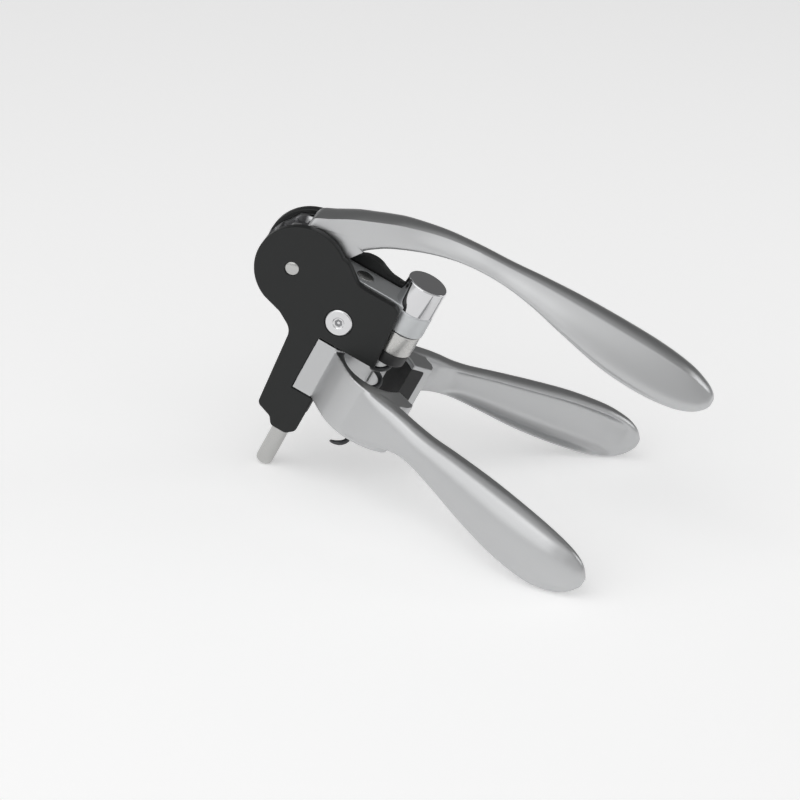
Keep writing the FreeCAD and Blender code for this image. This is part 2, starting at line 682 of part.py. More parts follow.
def handle(side, sign):
    """One handle with its knuckles, web, bottle collar and grip; sign as for the plates."""
    angle = sign * OPEN
    label = side + "_handle"
    if sign < 0:
        knuckle_spans = ((d("notch_floor") + " + 0.5", d("knuckle_low") + " - 0.3"),
                         (d("knuckle_high") + " + 0.3", d("notch_roof") + " - 0.5"))
        web_y = ("-" + d("plate_outer") + " + 0.1", "-5.6")
    else:
        knuckle_spans = ((d("knuckle_low"), d("knuckle_high")),)
        web_y = ("5.6", d("plate_outer") + " - 0.1")
    solids = []
    for i, (low, high) in enumerate(knuckle_spans):
        solids.append(cylinder("%s_knuckle_%d" % (label, i), d("knuckle_radius"),
                               "(%s) - (%s)" % (high, low), (0, 0, low)))
    web = box(label + "_web", ("-3.9", "4.6"), web_y,
              (d("notch_floor") + " + 0.5", d("notch_roof") + " - 0.5"))
    solids.append(web)
    shoulder = prism(label + "_shoulder", "XY",
                     [(x, sign * y) for x, y in ((3.0, 5.6), (3.0, 11.4), (4.6, 11.4), (12.9, 20.6),
                                                 (16.5, 15.5), (10.0, 6.5))],
                     d("notch_floor") + " + 0.5", d("collar_high"))
    solids.append(shoulder)
    solids.append(collar_wall(label + "_collar", sign, angle))
    grip = loft(label + "_grip", [(u, sign * w, z, t, h) for u, w, z, t, h in HANDLE_SECTIONS])
    solids.append(swung(grip, sign * val("handle_angle")))
    whole = fuse(label + "_whole", solids)
    bore = cylinder(label + "_bore", d("sleeve_radius") + " + 0.06", 80, (0, 0, 10))
    room = cylinder(label + "_room", d("knuckle_radius") + " + 0.5", 12.8, (0, 0, 49.9))
    bottle = cylinder(label + "_bottle", d("bottle_radius"), 80, (d("worm_x"), 0, 10))
    start = -FREE_EDGE - INSERT_SWEEP if sign < 0 else FREE_EDGE
    pocket = arc_band(label + "_pocket", d("bottle_radius") + " - 0.5", d("insert_outer"), "46", "66",
                      start - 1.0, INSERT_SWEEP + 2.0, angle)
    tools = [bore, swung(bottle, angle), pocket]
    if sign < 0:
        tools.append(room)
    else:
        for i, (low, high) in enumerate(((43.0, d("knuckle_low")), (d("knuckle_high"), 70.5))):
            tools.append(cylinder("%s_room_%d" % (label, i), d("knuckle_radius") + " + 0.5",
                                  "(%s) - (%s)" % (high, low), (0, 0, low)))
    holes = []
    screws = []
    for i, at in enumerate((-25, -48)):
        spot = FreeCAD.Rotation(VEC(0, 0, 1), -sign * at).multVec(VEC(1, 0, 0))
        for name, radius, reach, first, store in (
                ("hole", 1.2, 5.8, 16.0, holes), ("screw", 1.15, 5.2, 16.3, screws)):
            peg = DOC.addObject("Part::Cylinder", "%s_%s_%d" % (label, name, i))
            peg.Radius = radius
            peg.Height = reach
            centre = VEC(val("worm_x"), 0, 55.0) + spot * first
            peg.Placement = FreeCAD.Placement(centre, FreeCAD.Rotation(VEC(0, 0, 1), spot))
            store.append(swung(peg, angle))
    node(label, cut(label, whole, tools + holes))
    pad = arc_band(side + "_insert_band", d("bottle_radius"), d("insert_outer"), "46", "66",
                   start, INSERT_SWEEP, angle)
    node(side + "_insert", cut(side + "_insert", pad, [group(label + "_insert_holes", holes)]))
    node(side + "_insert_screws", group(side + "_insert_screws", screws))


handle("near", -1)
handle("far", 1)

# ------------------------------------------------------- rest pose and export
DOC.recompute()


def corner_points(labels):
    """Points over the surfaces of the named pieces."""
    found = []
    for obj in NODES:
        if obj.Label in labels:
            found.extend(obj.Shape.tessellate(0.05)[0])
    return found


def lowest(points, tilt):
    turn = FreeCAD.Rotation(VEC(0, 1, 0), tilt)
    return min(turn.multVec(p).z for p in points)


def resting_tilt():
    """Lean at which the rod's end and the handles touch one flat table."""
    rod_points = corner_points(("guide_rod",))
    grip_points = corner_points(("near_handle", "far_handle"))
    low, high = 5.0, 40.0
    for _ in range(40):
        middle = 0.5 * (low + high)
        if lowest(grip_points, middle) > lowest(rod_points, middle):
            low = middle
        else:
            high = middle
    return 0.5 * (low + high)


TILT = resting_tilt()
base = FreeCAD.Placement(VEC(), FreeCAD.Rotation(VEC(0, 1, 0), TILT))
whole = FreeCAD.BoundBox()
for obj in NODES:
    shape = obj.Shape.copy()
    shape.Placement = base.multiply(shape.Placement)
    whole.add(shape.optimalBoundingBox(True, False))
shift = VEC(-whole.Center.x, -whole.Center.y, -whole.ZMin)
base = FreeCAD.Placement(shift, base.Rotation)
for obj in NODES:
    obj.Placement = base.multiply(obj.Placement)
DOC.recompute()

os.makedirs("parts", exist_ok=True)
problems = []
for obj in DOC.Objects:
    if "Invalid" in obj.State or "Error" in obj.State:
        problems.append(obj.Name)
for obj in NODES:
    if obj.Shape.isNull() or not obj.Shape.isValid():
        problems.append(obj.Label + " shape")
if problems:
    raise RuntimeError("not sound: " + ", ".join(problems))
for obj in NODES:
    obj.Shape.exportStep("parts/%s.step" % obj.Label)
    print("%-22s solids %d volume %.1f" % (obj.Label, len(obj.Shape.Solids), obj.Shape.Volume))
print("tilt %.4f" % TILT)
print("shift %.4f %.4f %.4f" % (shift.x, shift.y, shift.z))
print("size %.2f %.2f %.2f" % (whole.XLength, whole.YLength, whole.ZLength))
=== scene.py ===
import json
import math

import bmesh
import bpy
from mathutils import Matrix, Vector


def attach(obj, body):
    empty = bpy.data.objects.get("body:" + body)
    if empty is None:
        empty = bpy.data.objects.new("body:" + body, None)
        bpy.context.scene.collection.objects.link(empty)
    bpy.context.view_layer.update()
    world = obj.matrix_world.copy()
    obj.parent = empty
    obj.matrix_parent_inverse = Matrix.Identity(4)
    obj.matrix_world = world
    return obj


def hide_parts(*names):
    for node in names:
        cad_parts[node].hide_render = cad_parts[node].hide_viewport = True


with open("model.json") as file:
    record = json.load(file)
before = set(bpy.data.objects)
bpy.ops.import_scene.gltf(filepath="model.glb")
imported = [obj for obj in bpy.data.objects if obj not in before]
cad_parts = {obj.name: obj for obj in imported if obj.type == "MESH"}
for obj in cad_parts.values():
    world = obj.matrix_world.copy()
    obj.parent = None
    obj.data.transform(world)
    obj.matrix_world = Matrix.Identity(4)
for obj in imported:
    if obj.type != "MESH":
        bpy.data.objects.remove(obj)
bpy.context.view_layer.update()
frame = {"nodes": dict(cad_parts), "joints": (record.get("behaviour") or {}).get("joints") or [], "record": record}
nodes = frame["nodes"]

MM = 0.001

# ------------------------------------------------------------------ the frame
# The pieces are drawn in the tool's own frame, in millimetres: the guide rod's
# axis is Z with its lower end at zero, +X points to the worm and +Y away.
HINGE_Z = 50.0
joints = {j["name"]: j for j in frame["joints"]}
UP = Vector(joints["carriage_slide"]["axis"]).normalized()
SIDE = Vector((0.0, 1.0, 0.0))
AHEAD = SIDE.cross(UP).normalized()
ORIGIN = Vector(joints["near_handle_hinge"]["pos_m"]) - UP * (HINGE_Z * MM)
TURN = Matrix((AHEAD, SIDE, UP)).transposed()
PLACED = Matrix.Translation(ORIGIN) @ TURN.to_4x4()
TOOL = PLACED @ Matrix.Scale(MM, 4)

# places that several pieces share, as (x, z) or one coordinate
PIVOT = (-27.6, 91.1)
WORM_X = 24.0
RING_R = 8.7
SCREW_Z = 80.35
PLATE_INSIDE = 7.5
PLATE_OUTSIDE = 11.5

# body names
HEAD = "head"
CARRIAGE = "carriage"
SIDES = (("near", -1), ("far", 1))


def to_row(p):
    """Point of the tool's frame, in the shared frame."""
    return TOOL @ Vector(p)


def turn_angle(k, steps):
    return 2 * math.pi * k / steps


# ------------------------------------------------------------------ materials
def new_material(name):
    mat = bpy.data.materials.new(name)
    mat.use_nodes = True
    tree = mat.node_tree
    return mat, tree, tree.nodes["Principled BSDF"]


def grain(tree, scale, stretch=(1.0, 1.0, 1.0)):
    """Fine noise that rides with the piece."""
    coords = tree.nodes.new("ShaderNodeTexCoord")
    mapping = tree.nodes.new("ShaderNodeMapping")
    mapping.inputs["Scale"].default_value = stretch
    noise = tree.nodes.new("ShaderNodeTexNoise")
    noise.inputs["Scale"].default_value = scale
    noise.inputs["Detail"].default_value = 4.0
    noise.inputs["Roughness"].default_value = 0.6
    tree.links.new(coords.outputs["Object"], mapping.inputs["Vector"])
    tree.links.new(mapping.outputs["Vector"], noise.inputs["Vector"])
    return noise


def span(tree, source, low, high):
    """The noise's middle range stretched to run from low to high."""
    ramp = tree.nodes.new("ShaderNodeMapRange")
    ramp.inputs["From Min"].default_value = 0.3
    ramp.inputs["From Max"].default_value = 0.7
    ramp.inputs["To Min"].default_value = low
    ramp.inputs["To Max"].default_value = high
    tree.links.new(source.outputs["Fac"], ramp.inputs["Value"])
    return ramp.outputs["Result"]


def bumped(tree, bsdf, noise, strength, distance):
    bump = tree.nodes.new("ShaderNodeBump")
    bump.inputs["Strength"].default_value = strength
    bump.inputs["Distance"].default_value = distance
    tree.links.new(noise.outputs["Fac"], bump.inputs["Height"])
    tree.links.new(bump.outputs["Normal"], bsdf.inputs["Normal"])


def metal(name, colour, rough, spread, grain_scale=900.0, bump=0.0, depth=0.00002,
          stretch=(1.0, 1.0, 1.0)):
    mat, tree, bsdf = new_material(name)
    bsdf.inputs["Base Color"].default_value = (*colour, 1.0)
    bsdf.inputs["Metallic"].default_value = 1.0
    noise = grain(tree, grain_scale, stretch=stretch)
    tree.links.new(span(tree, noise, rough - spread, rough + spread), bsdf.inputs["Roughness"])
    if bump:
        bumped(tree, bsdf, noise, bump, depth)
    return mat


def plastic(name, colour, rough, spread, grain_scale, bump, depth, sheen=0.0, level=0.5):
    mat, tree, bsdf = new_material(name)
    bsdf.inputs["Base Color"].default_value = (*colour, 1.0)
    bsdf.inputs["Specular IOR Level"].default_value = level
    if sheen:
        bsdf.inputs["Sheen Weight"].default_value = sheen
        bsdf.inputs["Sheen Roughness"].default_value = 0.5
    noise = grain(tree, grain_scale)
    tree.links.new(span(tree, noise, rough - spread, rough + spread), bsdf.inputs["Roughness"])
    bumped(tree, bsdf, noise, bump, depth)
    return mat


MATERIALS = {
    "satin_alloy": metal("satin cast alloy", (0.55, 0.555, 0.56), 0.34, 0.04, 1500.0,
                         0.10, 0.00003),
    "chrome": metal("polished chrome", (0.70, 0.70, 0.71), 0.06, 0.02, 300.0),
    "steel": metal("ground steel", (0.52, 0.52, 0.51), 0.18, 0.05, 500.0,
                   0.04, 0.00001, (1.0, 1.0, 12.0)),
    "plated_steel": metal("plated steel", (0.62, 0.635, 0.645), 0.50, 0.02, 500.0),
    "housing_metal": metal("satin nut housing", (0.60, 0.595, 0.58), 0.28, 0.02, 600.0),
    # dark_steel colours the painted shade band in the screws' sockets
    "dark_steel": metal("oiled machined steel", (0.26, 0.26, 0.27), 0.38, 0.08, 400.0,
                        0.08, 0.00002),
    "bronze": metal("sintered bronze", (0.55, 0.38, 0.20), 0.42, 0.08, 700.0, 0.1, 0.00002),
    "plate_black": plastic("side plate black", (0.011, 0.012, 0.012), 0.44, 0.05, 1600.0,
                           0.12, 0.00003, level=0.35),
    "black_plastic": plastic("moulded black", (0.016, 0.016, 0.017), 0.42, 0.06, 900.0,
                             0.10, 0.00002),
    "grip_rubber": plastic("insert rubber", (0.020, 0.020, 0.021), 0.55, 0.06, 1200.0,
                           0.25, 0.00004, 0.05),
    "coated_steel": plastic("worm coating", (0.040, 0.042, 0.045), 0.34, 0.06, 1100.0,
                            0.12, 0.00002),
}

for sub in frame["record"]["subparts"]:
    obj = nodes[sub["node"]]
    mat = MATERIALS[sub["material_slot"]]
    if not obj.data.materials:
        obj.data.materials.append(mat)
    for index in range(len(obj.material_slots)):
        obj.material_slots[index].material = mat


# ----------------------------------------------------------- making the pieces
def finish_piece(obj, body, slot, covers):
    """Gives a piece its material, the nodes it covers and the body it rides."""
    obj.data.materials.append(MATERIALS[slot])
    if covers:
        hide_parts(*covers)
    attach(obj, body)
    return obj


def add_object(name, data):
    obj = bpy.data.objects.new(name, data)
    bpy.context.scene.collection.objects.link(obj)
    return obj


def mesh_piece(name, bm, body, slot, covers=(), sharp_deg=35.0):
    bmesh.ops.remove_doubles(bm, verts=bm.verts, dist=1e-7)
    bmesh.ops.recalc_face_normals(bm, faces=bm.faces)
    limit = math.radians(sharp_deg)
    for face in bm.faces:
        face.smooth = True
    for edge in bm.edges:
        if len(edge.link_faces) == 2 and edge.calc_face_angle(0.0) > limit:
            edge.smooth = False
    mesh = bpy.data.meshes.new(name)
    bm.to_mesh(mesh)
    bm.free()
    return finish_piece(add_object(name, mesh), body, slot, covers)


def add_rings(bm, rings, cyclic=False):
    """Skin of quads through rings of points in the tool's frame, capped or joined up."""
    made = [[bm.verts.new(to_row(p)) for p in ring] for ring in rings]
    count = len(made[0])
    pairs = list(zip(made[:-1], made[1:]))
    if cyclic:
        pairs.append((made[-1], made[0]))
    for low, high in pairs:
        for i in range(count):
            k = (i + 1) % count
            bm.faces.new((low[i], low[k], high[k], high[i]))
    if not cyclic:
        bm.faces.new(list(reversed(made[0])))
        bm.faces.new(made[-1])


def rounded(profile, radius=0.35, steps=4):
    """Open profile with all its corners but the two ends rounded off."""
    out = [Vector(profile[0])]
    for a, b, c in zip(profile[:-2], profile[1:-1], profile[2:]):
        a, b, c = Vector(a), Vector(b), Vector(c)
        back, on = a - b, c - b
        if back.length < 1e-6 or on.length < 1e-6:
            continue
        reach = min(radius, 0.45 * back.length, 0.45 * on.length)
        start = b + back.normalized() * reach
        end = b + on.normalized() * reach
        for k in range(steps + 1):
            t = k / steps
            out.append((1 - t) ** 2 * start + 2 * t * (1 - t) * b + t * t * end)
    out.append(Vector(profile[-1]))
    return out


def lathe(bm, profile, centre, axis="z", steps=96):
    """Turned solid: profile of (radius, along) points about an axis through centre."""
    rings = []
    for radius, along in profile:
        radius = max(radius, 0.001)
        ring = []
        for k in range(steps):
            a = turn_angle(k, steps)
            first, second = centre[0] + radius * math.cos(a), centre[1] + radius * math.sin(a)
            ring.append((first, second, along) if axis == "z" else (first, along, second))
        rings.append(ring)
    # a profile that starts off the axis is closed into a ring, so its bore stays open
    add_rings(bm, rings, cyclic=profile[0][0] > 0.01)


def turned(name, profile, x, body, slot, covers=(), radius=0.35, sharp=35.0):
    """Turned piece about an upright axis at x, with its corners rounded."""
    bm = bmesh.new()
    lathe(bm, rounded(profile, radius), (x, 0.0))
    return mesh_piece(name, bm, body, slot, covers, sharp_deg=sharp)


def spline(points, per=12):
    """Catmull-Rom through tuples of any length."""
    points = [tuple(float(v) for v in p) for p in points]
    out = []
    for i in range(len(points) - 1):
        p0 = points[max(i - 1, 0)]
        p1, p2 = points[i], points[i + 1]
        p3 = points[min(i + 2, len(points) - 1)]
        for k in range(per):
            t = k / per
            out.append(tuple(
                0.5 * (2 * b + (c - a) * t + (2 * a - 5 * b + 4 * c - d) * t * t
                       + (3 * b - a - 3 * c + d) * t ** 3)
                for a, b, c, d in zip(p0, p1, p2, p3)))
    out.append(points[-1])
    return out


def fillet_outline(corners, steps=8):
    """Closed outline from (x, z, radius) corners, each rounded by its own radius."""
    out = []
    count = len(corners)
    for i in range(count):
        a = Vector(corners[i - 1][:2])
        b = Vector(corners[i][:2])
        c = Vector(corners[(i + 1) % count][:2])
        radius = corners[i][2]
        back, on = (a - b).normalized(), (c - b).normalized()
        half = 0.5 * back.angle(on)
        if radius <= 0 or half > math.radians(89.5):
            out.append(tuple(b))
            continue
        reach = min(radius / math.tan(half), 0.49 * (a - b).length, 0.49 * (c - b).length)
        real = reach * math.tan(half)
        bisector = (back + on).normalized()
        middle = b + bisector * (real / math.sin(half))
        start = b + back * reach - middle
        end = b + on * reach - middle
        turn = math.atan2(start.x * end.y - start.y * end.x, start.dot(end))
        for k in range(steps + 1):
            t = turn * k / steps
            out.append((middle.x + start.x * math.cos(t) - start.y * math.sin(t),
                        middle.y + start.x * math.sin(t) + start.y * math.cos(t)))
    return out


def circle_points(x, z, radius, steps=64):
    return [(x + radius * math.cos(turn_angle(k, steps)),
             z + radius * math.sin(turn_angle(k, steps))) for k in range(steps)]


def plate_curve(name, outlines, plane, low, high, edge, body, slot, covers=()):
    """Flat plate with rounded edges from outlines in XZ or XY, the first being the outside.

    It lies between low and high on the axis across its plane.
    """
    data = bpy.data.curves.new(name, "CURVE")
    data.dimensions = "2D"
    data.fill_mode = "BOTH"
    data.bevel_depth = edge * MM
    data.bevel_resolution = 4
    data.offset = -edge * MM
    data.extrude = (0.5 * (high - low) - edge) * MM
    for outline in outlines:
        poly = data.splines.new("POLY")
        poly.points.add(len(outline) - 1)
        for point, (u, v) in zip(poly.points, outline):
            point.co = (u * MM, v * MM, 0.0, 1.0)
        poly.use_cyclic_u = True
    drawn = add_object(name, data)
    middle = 0.5 * (low + high) * MM
    if plane == "XZ":
        local = Matrix.Translation((0.0, middle, 0.0)) @ Matrix.Rotation(math.radians(90), 4, "X")
    else:
        local = Matrix.Translation((0.0, 0.0, middle))
    bpy.context.view_layer.update()
    evaluated = drawn.evaluated_get(bpy.context.evaluated_depsgraph_get())
    mesh = bpy.data.meshes.new_from_object(evaluated)
    mesh.transform(PLACED @ local)
    bpy.data.objects.remove(drawn)
    return finish_piece(add_object(name, mesh), body, slot, covers)


# ---------------------------------------------------------------- side plates
def lobe_arc(x, z, r, start_deg, end_deg, steps=72):
    out = []
    for k in range(steps + 1):
        a = math.radians(start_deg + (end_deg - start_deg) * k / steps)
        out.append((x + r * math.cos(a), z + r * math.sin(a)))
    return out


def plate_outline(far):
    """Outside of one plate, seen with +X right and +Z up."""
    # leg, notch and waist, drawn from the nose down and round to the lobe
    nose = (20.6, 84.0)
    lower = fillet_outline([
        (*nose, 0), (21.9, 69.8, 0.6), (-4.1, 69.8, 0.3), (-4.1, 43.4, 0.3), (6.2, 43.4, 0.4),
        (6.2, 25.9, 3.0), (2.8, 22.8, 2.6), (-4.2, 22.8, 2.6), (-6.4, 26.3, 2.4),
        (-13.4, 29.0, 2.8), (-16.2, 66.5, 6.5), (-23.5, 71.2, 8.0), (-31.5, 73.9, 0),
    ])[1:-1]
    if far:
        top = 101.2
        lobe = lobe_arc(-23.7, 92.3, 20.3, -115.0, -312.0)
        shoulder = [(-6.6, 103.6), (-3.4, 104.5), (0.0, 104.9), (3.1, 104.4), (6.1, 103.0),
                    (9.4, 101.8), (13.4, top)]
    else:
        top = 99.2
        lobe = lobe_arc(-24.0, 91.8, 19.7, -115.0, -312.0)
        shoulder = [(-7.9, 105.7), (-4.4, 103.0), (-1.2, 100.4), (1.6, 99.4), (6.0, top)]
    top_edge = spline([lobe[-1]] + shoulder, 6)[1:]
    # only the rounded corner of this box is kept
    corner = fillet_outline([(13.0, top, 0), (19.7, top, 5.6), (*nose, 0), (13.0, nose[1], 0)])
    corner = [p for p in corner if p[1] > nose[1] + 1.0]
    return lower + lobe + top_edge + corner


def side_plate(side, sign):
    low, high = sorted((sign * PLATE_INSIDE, sign * PLATE_OUTSIDE))
    outlines = [plate_outline(sign > 0), circle_points(*PIVOT, 3.0),
                circle_points(0.0, SCREW_Z, 5.95)]
    plate_curve(side + "_plate_skin", outlines, "XZ", low, high, 0.55,
                HEAD, "plate_black", (side + "_side_plate",))


for side_name, side_sign in SIDES:
    side_plate(side_name, side_sign)


def lever_pin_piece():
    """Pin through both plates, its ends just below the plates' faces."""
    y = 11.32
    profile = [(0.0, -y), (2.0, -y), (2.9, -y + 0.35), (2.98, -y + 0.8), (2.98, y - 0.8),
               (2.9, y - 0.35), (2.0, y), (0.0, y)]
    bm = bmesh.new()
    lathe(bm, profile, PIVOT, "y", 64)
    mesh_piece("lever_pin_ends", bm, HEAD, "steel", ("lever_pin",), sharp_deg=50.0)


def screw_ring(radius, y, steps=96):
    """Ring about the big screws' axis."""
    return [(radius * math.cos(turn_angle(k, steps)), y,
             SCREW_Z + radius * math.sin(turn_angle(k, steps))) for k in range(steps)]


def hexagon_ring(flat, y, steps=96):
    """Hexagon about the big screws' axis, flat being its centre to the middle of a side."""
    ring = []
    for k in range(steps):
        a = turn_angle(k, steps)
        sector = (a % (math.pi / 3)) - math.pi / 6
        radius = flat / math.cos(sector)
        ring.append((radius * math.cos(a), y, SCREW_Z + radius * math.sin(a)))
    return ring


def socket_screw(side, sign):
    """Flat chrome screw with a hexagon socket in a shallow ring."""
    face = 11.95
    profile = rounded([(0.01, 7.2), (5.80, 7.2), (5.85, 11.35), (5.30, face), (2.6, face),
                       (2.2, face - 0.35), (1.95, face - 0.35)], 0.22)
    rings = [screw_ring(radius, sign * along) for radius, along in profile]
    rings += [hexagon_ring(1.35, sign * (face - depth)) for depth in (0.35, 0.62)]
    bm = bmesh.new()
    add_rings(bm, rings)
    mesh_piece(side + "_screw_head", bm, HEAD, "chrome", (side + "_plate_screw",), sharp_deg=28.0)
    # painted shade: a dark hexagon band over the socket's walls, standing in for the recess's shade round the
    # socket's bright floor
    corner = math.cos(math.pi / 6)
    rings = [hexagon_ring(radius * corner, sign * (face - depth))
             for radius, depth in ((0.75, 0.45), (1.75, 0.30), (1.75, 0.55), (0.75, 0.60))]
    bm = bmesh.new()
    add_rings(bm, rings, cyclic=True)
    mesh_piece(side + "_socket_painted_shade", bm, HEAD, "dark_steel", sharp_deg=28.0)


lever_pin_piece()
for side_name, side_sign in SIDES:
    socket_screw(side_name, side_sign)

# -------------------------------------------------------------------- carriage
strap_outline = fillet_outline([
    (-11.5, -6.7, 1.6), (14.0, -6.7, 12.0), (20.4, -7.8, 2.0), (26.0, -7.8, 1.0),
    (26.0, 7.8, 1.0), (20.4, 7.8, 2.0), (14.0, 6.7, 12.0), (-11.5, 6.7, 1.6)])
plate_curve("strap_plate", [strap_outline, circle_points(0.0, 0.0, 3.82),
                            circle_points(WORM_X, 0.0, RING_R - 0.2)],
            "XY", 92.7, 99.7, 0.3, CARRIAGE, "plated_steel", ("carriage_strap",))

turned("strap_ring_band", [(4.3, 88.32), (8.62, 88.32), (8.68, 88.8), (8.68, 97.8),
                           (8.4, 98.06), (4.3, 98.06)],
       WORM_X, CARRIAGE, "plated_steel", radius=0.3)
turned("cap_shell", [(0.0, 98.12), (8.3, 98.12), (8.66, 98.4), (8.66, 110.7),
                     (8.2, 111.16), (0.0, 111.16)],
       WORM_X, CARRIAGE, "chrome", ("chrome_cap",), radius=0.5, sharp=50.0)
turned("guide_rod_bar", [(0.0, 0.02), (2.6, 0.05), (3.5, 0.9), (3.68, 2.2), (3.69, 20.1),
                         (3.74, 20.4), (3.74, 99.74), (3.62, 99.84), (0.0, 99.84)],
       0.0, CARRIAGE, "steel", ("guide_rod",), radius=0.3, sharp=50.0)

# ------------------------------------------------------------------------- nut
turned("nut_housing_shell", [(4.6, 77.85), (7.9, 77.85), (8.28, 78.3), (8.28, 87.5),
                             (8.0, 87.76), (4.6, 87.76)],
       WORM_X, HEAD, "housing_metal", ("nut_housing",), radius=0.4)
turned("nut_collar_shell", [(6.5, 72.25), (7.3, 72.25), (7.78, 72.7), (7.78, 77.75), (6.5, 77.75)],
       WORM_X, HEAD, "black_plastic", ("nut_collar",), radius=0.4)


# ------------------------------------------------------------------------ worm
def worm_piece():
    """Round wire wound as a right-hand helix, drawn out to a point below."""
    tip, top = 22.6, 78.4
    pitch, radius, wire = 10.0, 3.0, 1.08
    # the wire crosses the nut's drive peg half a turn after the angle's zero
    peg = 74.4
    zero = peg - 0.5 * pitch
    data = bpy.data.curves.new("worm_wire", "CURVE")
    data.dimensions = "3D"
    data.bevel_depth = wire * MM
    data.bevel_resolution = 8
    data.use_fill_caps = True
    poly = data.splines.new("POLY")
    count = 420
    poly.points.add(count)
    for k, point in enumerate(poly.points):
        z = tip + (top - tip) * k / count
        a = 2 * math.pi * (z - zero) / pitch
        point.co = (*to_row((WORM_X + radius * math.cos(a), radius * math.sin(a), z)), 1.0)
        point.radius = min(1.0, 0.10 + (z - tip) / 5.0)
    finish_piece(add_object("worm_wire", data), "worm", "coated_steel", ("worm_helix",))


worm_piece()


# ---------------------------------------------------------------------- lever
LEVER = [
    # x, z of the widest line, half width, half width of the top, rise above, fall below
    (-30.5, 109.4, 5.6, 4.8, 2.4, 1.8),
    (-29.0, 109.8, 6.7, 6.0, 4.8, 2.8),
    (-24.0, 110.8, 6.92, 6.2, 6.8, 6.6),
    (-16.0, 113.2, 6.92, 6.2, 9.4, 8.8),
    (-9.0, 116.0, 6.92, 6.1, 9.9, 8.4),
    (-3.0, 119.2, 6.92, 6.0, 9.3, 5.9),
    (5.0, 122.8, 6.8, 5.6, 8.7, 4.2),
    (20.0, 127.6, 6.7, 4.4, 7.6, 2.6),
    (35.0, 130.4, 6.8, 3.7, 6.5, 1.9),
    (50.0, 131.0, 7.3, 3.6, 6.7, 1.9),
    (65.0, 130.0, 9.2, 4.2, 8.9, 2.6),
    (82.0, 127.6, 11.7, 5.2, 12.1, 4.2),
    (102.0, 124.6, 13.5, 6.0, 15.2, 5.4),
    (120.0, 123.4, 13.7, 6.0, 15.8, 5.4),
    (134.0, 124.0, 12.3, 5.2, 13.4, 5.0),
    (142.5, 125.6, 9.5, 3.8, 9.0, 4.4),
    (147.0, 127.0, 5.8, 2.2, 5.0, 2.8),
    (148.7, 127.8, 2.4, 1.0, 1.9, 1.4),
]


def lever_section(w, w_top, up, down, flat, count=20):
    """Half section from the middle of the top round to the middle of the underside.

    flat runs from 0, a rounded shoulder, to 1, a crisp edge between top and side.
    """
    crown = 0.10 * up
    edge = up - crown
    half = []
    for k in range(count):
        t = k / count
        half.append((w_top * t, edge + crown * (1.0 - t * t)))
    for k in range(count):
        t = k / count
        straight = w_top + (w - w_top) * t
        full = w_top + (w - w_top) * math.sin(0.5 * math.pi * t)
        bulge = straight + (full - straight) * (1.0 - 0.6 * flat)
        half.append((bulge, edge * (1.0 - t)))
    for k in range(count + 1):
        a = 0.5 * math.pi * k / count
        n = 4.0 if flat > 0.9 else 2.0 + 2.0 * flat
        half.append((w * abs(math.cos(a)) ** (2 / n), -down * math.sin(a) ** (2 / n)))
    return half


def lever_piece():
    """Arched arm, crisp above its root and softer from there to the grip."""
    bm = bmesh.new()
    rings = []
    for x, z, w, w_top, up, down in spline(LEVER, 10):
        flat = min(1.0, max(0.0, (30.0 - x) / 34.0))
        half = lever_section(w, w_top, up, down, flat)
        ring = [(x, y, z + dz) for y, dz in half]
        ring += [(x, -y, z + dz) for y, dz in reversed(half[1:-1])]
        rings.append(ring)
    add_rings(bm, rings)
    mesh_piece("lever_grip", bm, "lever", "satin_alloy", ("lever_arm",), sharp_deg=30.0)


lever_piece()

# -------------------------------------------------------------------- handles
GRIP_ANGLE = math.radians(27.0)
OPEN_DEG = 15.5
OPEN_ANGLE = math.radians(OPEN_DEG)
# the bottle's axis as each open handle carries it, as (x, y) on the far side
RING_C = (WORM_X * math.cos(OPEN_ANGLE), WORM_X * math.sin(OPEN_ANGLE))
BOTTLE_R = 14.65


def grip_point(u, w, z, sign):
    """Tool point at u along the grip and w outwards from it."""
    x = u * math.cos(GRIP_ANGLE) - w * math.sin(GRIP_ANGLE)
    y = u * math.sin(GRIP_ANGLE) + w * math.cos(GRIP_ANGLE)
    return (x, sign * y, z)


# the collar's outside is a circle of its own, as (x, y, radius)
WALL_ALONG, WALL_ACROSS, WALL_R = 29.2, 1.35, 21.5
WALL = (WALL_ALONG * math.cos(OPEN_ANGLE) + WALL_ACROSS * math.sin(OPEN_ANGLE),
        WALL_ALONG * math.sin(OPEN_ANGLE) - WALL_ACROSS * math.cos(OPEN_ANGLE), WALL_R)
# degrees about the bottle's axis where the collar ends, and where it starts behind the web
FREE_EDGE = 14.0 + OPEN_DEG
WEB_EDGE = 179.5
WEB_CORNER = (4.6, 11.35)


def wall_tangent():
    """Point where a straight line from the web's corner runs on to the collar's circle."""
    dx, dy = WALL[0] - WEB_CORNER[0], WALL[1] - WEB_CORNER[1]
    gap = math.hypot(dx, dy)
    heading = math.atan2(dy, dx) + math.asin(WALL[2] / gap)
    length = math.sqrt(gap * gap - WALL[2] ** 2)
    return (WEB_CORNER[0] + length * math.cos(heading), WEB_CORNER[1] + length * math.sin(heading))


TANGENT = wall_tangent()


def seen_from_axis(point):
    """Direction of a point from the bottle's axis, in degrees."""
    return math.degrees(math.atan2(point[1] - RING_C[1], point[0] - RING_C[0]))


def wall_reach(deg):
    """Distance from the bottle's axis to the outside of the collar, in one direction."""
    a = math.radians(deg)
    cx, cy = math.cos(a), math.sin(a)
    bx, by = RING_C
    if deg > seen_from_axis(WEB_CORNER):
        return (WEB_CORNER[0] - bx) / cx
    if deg > seen_from_axis(TANGENT):
        ex, ey = WEB_CORNER[0] - TANGENT[0], WEB_CORNER[1] - TANGENT[1]
        fx, fy = TANGENT[0] - bx, TANGENT[1] - by
        return (fx * ey - fy * ex) / (cx * ey - cy * ex)
    ox, oy = bx - WALL[0], by - WALL[1]
    b = ox * cx + oy * cy
    return -b + math.sqrt(b * b - ox * ox - oy * oy + WALL[2] ** 2)


